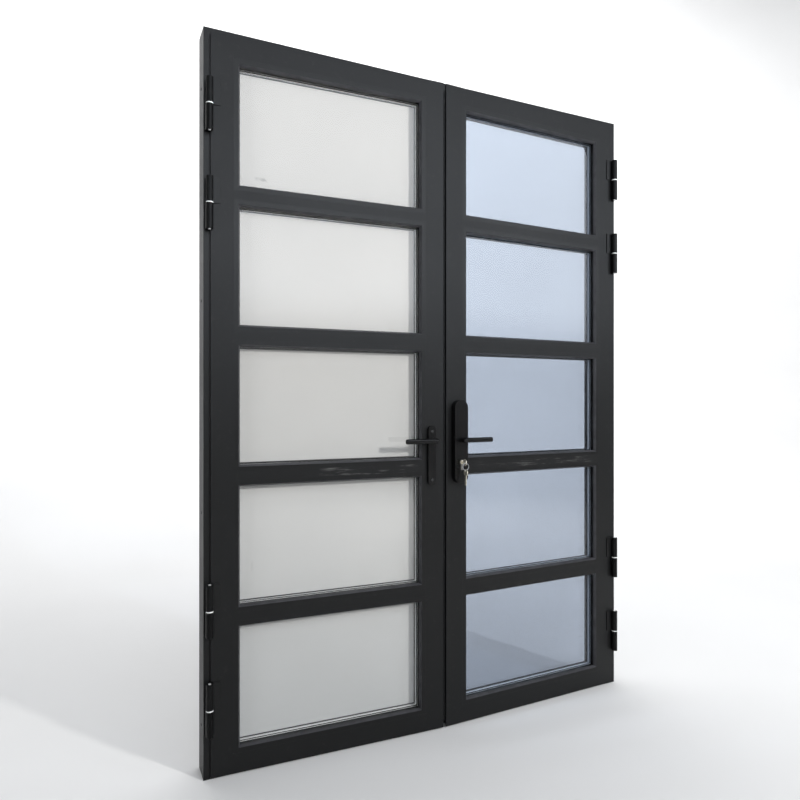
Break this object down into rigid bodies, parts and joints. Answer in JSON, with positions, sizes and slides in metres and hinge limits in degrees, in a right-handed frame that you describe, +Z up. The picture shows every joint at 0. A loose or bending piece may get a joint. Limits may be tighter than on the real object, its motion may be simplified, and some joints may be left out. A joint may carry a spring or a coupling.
{
  "type": "french doors",
  "caption": "Pair of dark aluminium french doors in their frame, stacked horizontal panes, pull-in leaves on face hinges, lever handles, rods and a key lock.",
  "frame": {"origin": "middle of the sill's underside, half way through the frame's depth", "axes": "+X along the width, towards the leaf with the key; -Y out of the face that the leaves open towards; +Z up"},
  "size_m": [1.5, 0.1723, 2.1],
  "materials": {
    "coat": "anthracite powder coat, satin",
    "rubber": "matt",
    "bright": "mill",
    "rod": "mill",
    "steel": "zinc plated",
    "washer": "plain nylon",
    "frosted_glass": "etched, white",
    "clear_glass": "clear",
    "nickel": "satin nickel"
  },
  "bodies": {
    "frame": {"frame_head": "coat", "frame_sill": "coat", "frame_jamb_left": "coat", "frame_jamb_right": "coat", "frame_seal": "rubber", "frame_cleats": "bright", "frame_hinges": "coat", "hinge_pins": "steel", "hinge_washers": "washer", "rod_keeps": "steel"},
    "left_handle": {"left_lever": "coat", "left_spindle": "steel", "left_pinion": "steel"},
    "left_top_rod": {"left_top_rod": "rod"},
    "left_bottom_rod": {"left_bottom_rod": "rod"},
    "right_handle": {"right_lever": "coat", "right_rear_lever": "coat", "right_spindle": "steel", "right_pinion": "steel"},
    "right_top_rod": {"right_top_rod": "rod"},
    "right_bottom_rod": {"right_bottom_rod": "rod"},
    "turned_key": {"key_plug": "nickel", "key": "nickel"},
    "bolt": {"deadbolt": "nickel"},
    "ring": {"key_ring": "steel"},
    "spare": {"spare_key": "nickel"},
    "left_leaf": {"left_hinge_stile": "coat", "left_meeting_stile": "coat", "left_top_rail": "coat", "left_bottom_rail": "coat", "left_transoms": "coat", "left_beads": "coat", "left_seals": "rubber", "left_front_panes": "clear_glass", "left_back_panes": "frosted_glass", "left_spacers": "bright", "left_cleats": "bright", "left_hinge_wings": "coat", "left_plate": "coat", "left_plate_screws": "steel", "left_gear_case": "steel", "left_strike": "steel"},
    "right_leaf": {"right_hinge_stile": "coat", "right_meeting_stile": "coat", "right_top_rail": "coat", "right_bottom_rail": "coat", "right_transoms": "coat", "right_beads": "coat", "right_seals": "rubber", "right_front_panes": "clear_glass", "right_back_panes": "clear_glass", "right_spacers": "bright", "right_cleats": "bright", "right_hinge_wings": "coat", "right_plate": "coat", "right_rear_plate": "coat", "right_plate_screws": "steel", "right_lock_case": "steel", "right_cylinder": "nickel"}
  },
  "joints": [
    {"name": "left_leaf_swing", "type": "hinge", "parent": "frame", "child": "left_leaf", "pos_m": [-0.736, -0.055, 1], "axis": [0, 0, -1], "range_deg": [-2.2, 100]},
    {"name": "right_leaf_swing", "type": "hinge", "parent": "frame", "child": "right_leaf", "pos_m": [0.736, -0.055, 1], "axis": [0, 0, 1], "range_deg": [-2.2, 100]},
    {"name": "left_lever_turn", "type": "hinge", "parent": "left_leaf", "child": "left_handle", "pos_m": [-0.04983, -0.06385, 0.931], "axis": [-0.0384, -0.9993, 0], "range_deg": [0, 90]},
    {"name": "left_top_rod_slide", "type": "slide", "parent": "left_leaf", "child": "left_top_rod", "axis": [0, 0, 1], "range_m": [0, 0.01508]},
    {"name": "left_bottom_rod_slide", "type": "slide", "parent": "left_leaf", "child": "left_bottom_rod", "axis": [0, 0, -1], "range_m": [0, 0.01508]},
    {"name": "right_lever_turn", "type": "hinge", "parent": "right_leaf", "child": "right_handle", "pos_m": [0.04983, -0.06385, 0.931], "axis": [0.0384, -0.9993, 0], "range_deg": [0, 60]},
    {"name": "right_top_rod_slide", "type": "slide", "parent": "right_leaf", "child": "right_top_rod", "axis": [0, 0, 1], "range_m": [0, 0.01005]},
    {"name": "right_bottom_rod_slide", "type": "slide", "parent": "right_leaf", "child": "right_bottom_rod", "axis": [0, 0, -1], "range_m": [0, 0.01005]},
    {"name": "key_turn", "type": "hinge", "parent": "right_leaf", "child": "turned_key", "pos_m": [0.04983, -0.06385, 0.859], "axis": [0.0384, -0.9993, 0], "range_deg": [0, 90]},
    {"name": "bolt_slide", "type": "slide", "parent": "right_leaf", "child": "bolt", "axis": [-0.9993, -0.0384, 0], "range_m": [0, 0.02]},
    {"name": "ring_swing", "type": "hinge", "parent": "turned_key", "child": "ring", "pos_m": [0.05187, -0.11681, 0.8572], "axis": [0.9993, 0.0384, 0], "range_deg": [-60, 6]},
    {"name": "spare_key_swing", "type": "hinge", "parent": "ring", "child": "spare", "pos_m": [0.05187, -0.11681, 0.8352], "axis": [0.9993, 0.0384, 0], "range_deg": [-30, 10]}
  ],
  "couplings": [
    {"joint": "left_top_rod_slide", "follows": "left_lever_turn", "m_per_rad": 0.0096},
    {"joint": "left_bottom_rod_slide", "follows": "left_lever_turn", "m_per_rad": 0.0096},
    {"joint": "right_top_rod_slide", "follows": "right_lever_turn", "m_per_rad": 0.0096},
    {"joint": "right_bottom_rod_slide", "follows": "right_lever_turn", "m_per_rad": 0.0096},
    {"joint": "bolt_slide", "follows": "key_turn", "m_per_rad": 0.012732}
  ]
}
